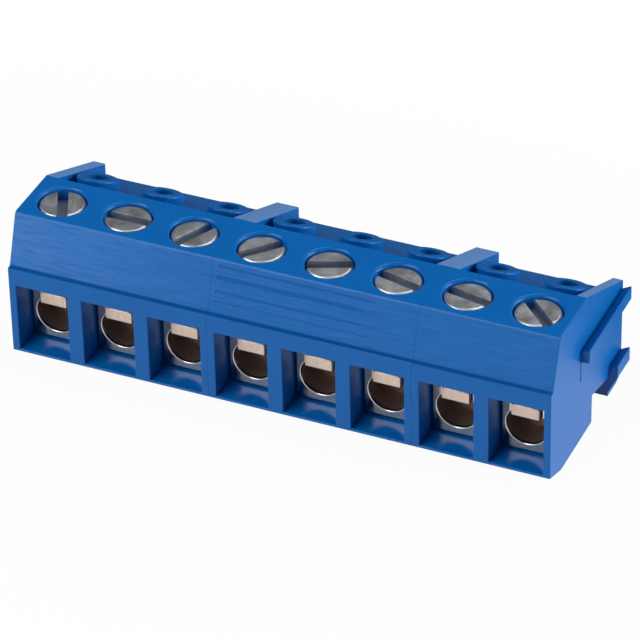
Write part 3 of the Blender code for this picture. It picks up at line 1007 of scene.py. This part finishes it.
def thread_ridge(settings, start, end):
    """The thread's ridge as a closed coil from one height down to another."""
    core = settings.thread_radius - settings.thread_depth
    pitch = settings.thread_pitch
    turns = (start - end) / pitch
    root = core - ROOT_SINK * settings.thread_depth
    crest = settings.thread_radius
    section = ((root, ROOT_SHARE), (crest, CREST_SHARE), (crest, -CREST_SHARE), (root, -ROOT_SHARE))
    shape = bmesh.new()
    points = [shape.verts.new((radius, 0, start + share * pitch)) for radius, share in section]
    first = shape.faces.new(points)
    steps = round(THREAD_STEPS * turns)
    bmesh.ops.spin(
        shape, geom=list(first.edges) + points + [first], cent=(0, 0, 0), axis=(0, 0, 1),
        dvec=(0, 0, -pitch / THREAD_STEPS), angle=-2 * math.pi * steps / THREAD_STEPS, steps=steps,
    )
    bmesh.ops.remove_doubles(shape, verts=shape.verts, dist=MERGE_DISTANCE / 2)
    rim = [edge for edge in shape.edges if edge.is_boundary]
    if rim:
        bmesh.ops.holes_fill(shape, edges=rim, sides=len(section))
    bmesh.ops.recalc_face_normals(shape, faces=shape.faces)
    return shape


def screw_shape(settings, head_radius, head_top, tip):
    """A slotted cheese-head screw about Z, with its slot along X."""
    core = settings.thread_radius - settings.thread_depth
    head_bottom = head_top - settings.head_height
    profile = [
        (0, head_top),
        (head_radius, head_top),
        (head_radius, head_bottom),
        (core, head_bottom),
        (core, tip + settings.tip_taper),
        (settings.thread_radius - settings.tip_taper, tip),
        (0, tip),
    ]
    shape = turned_shape(profile, ROUND_STEPS)

    def on_head(point):
        return point.xy.length > settings.thread_radius

    head_rims = outward_edges(shape, lambda points: all(on_head(point) for point in points))
    round_edges(shape, settings.head_edge, HEAD_SEGMENTS, head_rims)
    thread_start = head_bottom - settings.thread_pitch
    thread_end = tip + settings.tip_taper + settings.thread_pitch / 2
    shape = combined(shape, thread_ridge(settings, thread_start, thread_end), "UNION")

    reach = head_radius + SLOT_OVERLAP
    half = settings.slot_width / 2
    floor = head_top - settings.slot_depth
    above = head_top + SLOT_OVERLAP
    section = ((-half, floor), (half, floor), (half, above), (-half, above))
    cutter = prism([Vector((-reach, y, z)) for y, z in section], (2 * reach, 0, 0))
    shape = combined(shape, cutter, "DIFFERENCE")

    def on_lip(point):
        return abs(point.z - head_top) < MERGE_DISTANCE and abs(abs(point.y) - half) < MERGE_DISTANCE

    lips = [edge for edge in shape.edges if all(on_lip(vert.co) for vert in edge.verts)]
    round_edges(shape, settings.slot_edge, EDGE_SEGMENTS, lips)

    plan = shape.loops.layers.uv.new("plan")
    for face in shape.faces:
        for loop in face.loops:
            loop[plan].uv = loop.vert.co.xy / MM
    return shape


def build_screws(settings):
    """Makes one screw, and sets a copy of it at each pole with its own slot direction."""
    joints = pole_joints()
    if len(joints) != len(SLOT_ANGLES):
        raise RuntimeError("the packed model has another number of screws than there are slot directions")
    low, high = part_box("clamp_screw_1")
    head_top = high.z + settings.head_rise
    steel = zinc_plated_steel(settings, head_top)
    head_radius = (high.x - low.x) / 2 * FACETED
    pattern = screw_shape(settings, head_radius, head_top, low.z)
    for joint, degrees in zip(joints, SLOT_ANGLES):
        body = joint["child"]
        node = frame["record"]["behaviour"]["bodies"][body][0]
        x, y, _ = joint["pos_m"]
        shape = pattern.copy()
        placed = Matrix.Translation((x, y, 0)) @ Matrix.Rotation(math.radians(degrees), 4, "Z")
        bmesh.ops.transform(shape, matrix=placed, verts=shape.verts)
        add_piece(f"slotted_{node}", shape, steel, node)
    pattern.free()


def copied_nodes(prefix):
    """The CAD nodes of one kind, from the first pole to the last."""
    nodes = sorted(node for node in frame["nodes"] if node.startswith(prefix))
    if not nodes:
        raise RuntimeError(f"the packed model has no node named {prefix}")
    return nodes


def build_cages(settings):
    """Rounds the rim of each cage's wire hole and the edges behind it, and leaves the bar's window sharp."""
    nodes = copied_nodes("lift_cage")
    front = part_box(nodes[0])[0].y
    nickel = bright_nickel_plate(settings, front)
    for node in nodes:
        shape = copied_shape(node)
        low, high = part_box(node)

        def on_rim(point):
            inside = low.x + RIM_INSET < point.x < high.x - RIM_INSET and point.z > low.z + RIM_INSET
            return inside and point.y < front + CLOSE

        def behind_rim(point):
            return front + RIM_INSET < point.y < high.y - WINDOW_INSET

        rim = outward_edges(shape, lambda points: all(on_rim(point) for point in points))
        round_edges(shape, settings.rim_edge, HOLE_SEGMENTS, rim)
        others = outward_edges(shape, lambda points: all(behind_rim(point) for point in points), CORNER_ANGLE)
        round_edges(shape, settings.cage_edge, EDGE_SEGMENTS, others)
        add_piece(f"plated_{node}", shape, nickel, node)


def build_contacts(settings):
    """Copies the contacts and rounds their edges."""
    tin = tinned_copper_alloy(settings)
    for node in copied_nodes("contact"):
        shape = copied_shape(node)
        edges = outward_edges(shape, lambda points: True)
        round_edges(shape, settings.contact_edge, EDGE_SEGMENTS, edges)
        add_piece(f"plated_{node}", shape, tin, node)


def add_panel_lamp(name, watts, azimuth, elevation, width, height):
    """Adds a soft rectangular lamp aimed at the block, placed by its direction as seen from the block."""
    lamp = bpy.data.lights.new(name, "AREA")
    lamp.shape = "RECTANGLE"
    lamp.size = width * MM
    lamp.size_y = height * MM
    lamp.energy = watts
    holder = bpy.data.objects.new(name, lamp)
    bpy.context.scene.collection.objects.link(holder)
    around = math.radians(azimuth)
    above = math.radians(elevation)
    out = Vector((math.sin(around) * math.cos(above), -math.cos(around) * math.cos(above), math.sin(above)))
    holder.location = (CAD_LOW + CAD_HIGH) / 2 + out * LAMP_DISTANCE
    holder.rotation_euler = out.to_track_quat("Z", "Y").to_euler()
    holder.visible_camera = False


def build_sky(settings):
    """A dim studio with one brighter wall at the front left."""
    world = bpy.data.worlds.new("studio_walls")
    bpy.context.scene.world = world
    world.use_nodes = True
    tree = world.node_tree
    tree.nodes.clear()
    place = add_node(tree, "ShaderNodeTexCoord")
    towards = add_node(
        tree, "ShaderNodeVectorMath",
        {0: place.outputs["Generated"], 1: BRIGHT_WALL}, operation="DOT_PRODUCT",
    )
    level = add_node(
        tree, "ShaderNodeMapRange",
        {
            "Value": towards.outputs["Value"], "From Min": 0.6, "From Max": 0.98,
            "To Min": settings.sky, "To Max": settings.sky + settings.window,
        },
        interpolation_type="SMOOTHSTEP",
    )
    light = add_node(
        tree, "ShaderNodeBackground",
        {"Color": WHITE, "Strength": level.outputs["Result"]},
    )
    add_node(tree, "ShaderNodeOutputWorld", {"Surface": light.outputs["Background"]})


def build_floor(settings):
    """A square sheet just under the block."""
    shape = bmesh.new()
    bmesh.ops.create_grid(shape, x_segments=2, y_segments=2, size=settings.floor_size / 2)
    bmesh.ops.translate(shape, verts=shape.verts, vec=(0, 0, CAD_LOW.z - FLOOR_GAP))
    floor = linked_object("floor", shape)
    floor.data.materials.append(studio_floor(settings))


def build_camera(settings):
    """A camera set by its turn, height, roll and distance about the point that it looks at."""
    data = bpy.data.cameras.new("photo_camera")
    data.sensor_width = 36.0
    data.lens = settings.lens
    data.clip_start = 10 * MM
    data.clip_end = 20.0
    camera = bpy.data.objects.new("photo_camera", data)
    bpy.context.scene.collection.objects.link(camera)
    turned = (
        Matrix.Rotation(settings.azimuth, 4, "Z")
        @ Matrix.Rotation(math.pi / 2 - settings.elevation, 4, "X")
        @ Matrix.Rotation(settings.roll, 4, "Z")
    )
    back = turned.to_3x3() @ Vector((0, 0, 1))
    camera.matrix_world = Matrix.Translation(Vector(settings.target) + back * settings.distance) @ turned
    bpy.context.scene.camera = camera


class MouldHousings(bpy.types.Operator):
    """Build the three interlocking moulded housings"""

    bl_idname = "terminal_block.mould_housings"
    bl_label = "Mould Housings"

    def execute(self, context):
        build_housings(context.scene.moulding)
        return {"FINISHED"}


class TurnScrews(bpy.types.Operator):
    """Build the slotted clamp screws"""

    bl_idname = "terminal_block.turn_screws"
    bl_label = "Turn Screws"

    def execute(self, context):
        build_screws(context.scene.screws)
        return {"FINISHED"}


class PlateCages(bpy.types.Operator):
    """Build the lift cages that grip the wires"""

    bl_idname = "terminal_block.plate_cages"
    bl_label = "Plate Cages"

    def execute(self, context):
        build_cages(context.scene.metals)
        return {"FINISHED"}


class TinContacts(bpy.types.Operator):
    """Build the current bars with their pin sockets"""

    bl_idname = "terminal_block.tin_contacts"
    bl_label = "Tin Contacts"

    def execute(self, context):
        build_contacts(context.scene.metals)
        return {"FINISHED"}


class SetStage(bpy.types.Operator):
    """Build the floor, the lamps and the camera"""

    bl_idname = "terminal_block.set_stage"
    bl_label = "Set Stage"

    def execute(self, context):
        settings = context.scene.stage
        context.scene.view_settings.view_transform = "Standard"
        build_sky(settings)
        build_floor(settings)
        for name, place in LAMPS.items():
            add_panel_lamp(f"{name}_lamp", getattr(settings, name), *place)
        build_camera(settings)
        return {"FINISHED"}


class TerminalBlockPanel(bpy.types.Panel):
    bl_idname = "VIEW3D_PT_terminal_block"
    bl_label = "Terminal Block"
    bl_space_type = "VIEW_3D"
    bl_region_type = "UI"
    bl_category = "Terminal Block"

    def draw(self, context):
        sections = (
            (context.scene.moulding, (MouldHousings,)),
            (context.scene.screws, (TurnScrews,)),
            (context.scene.metals, (PlateCages, TinContacts)),
            (context.scene.stage, (SetStage,)),
        )
        for settings, operators in sections:
            box = self.layout.box()
            for name in settings.__annotations__:
                box.prop(settings, name)
            for operator in operators:
                box.operator(operator.bl_idname)


SETTINGS = {
    "moulding": MouldingSettings,
    "screws": ScrewSettings,
    "metals": MetalSettings,
    "stage": StageSettings,
}
OPERATORS = (MouldHousings, TurnScrews, PlateCages, TinContacts, SetStage)


def register():
    for kind in (*SETTINGS.values(), *OPERATORS, TerminalBlockPanel):
        bpy.utils.register_class(kind)
    for name, kind in SETTINGS.items():
        setattr(bpy.types.Scene, name, bpy.props.PointerProperty(type=kind))


def unregister():
    for name in SETTINGS:
        delattr(bpy.types.Scene, name)
    for kind in reversed((*SETTINGS.values(), *OPERATORS, TerminalBlockPanel)):
        bpy.utils.unregister_class(kind)


def main():
    register()
    bpy.ops.terminal_block.mould_housings()
    bpy.ops.terminal_block.turn_screws()
    bpy.ops.terminal_block.plate_cages()
    bpy.ops.terminal_block.tin_contacts()
    bpy.ops.terminal_block.set_stage()


if __name__ == "__main__":
    main()
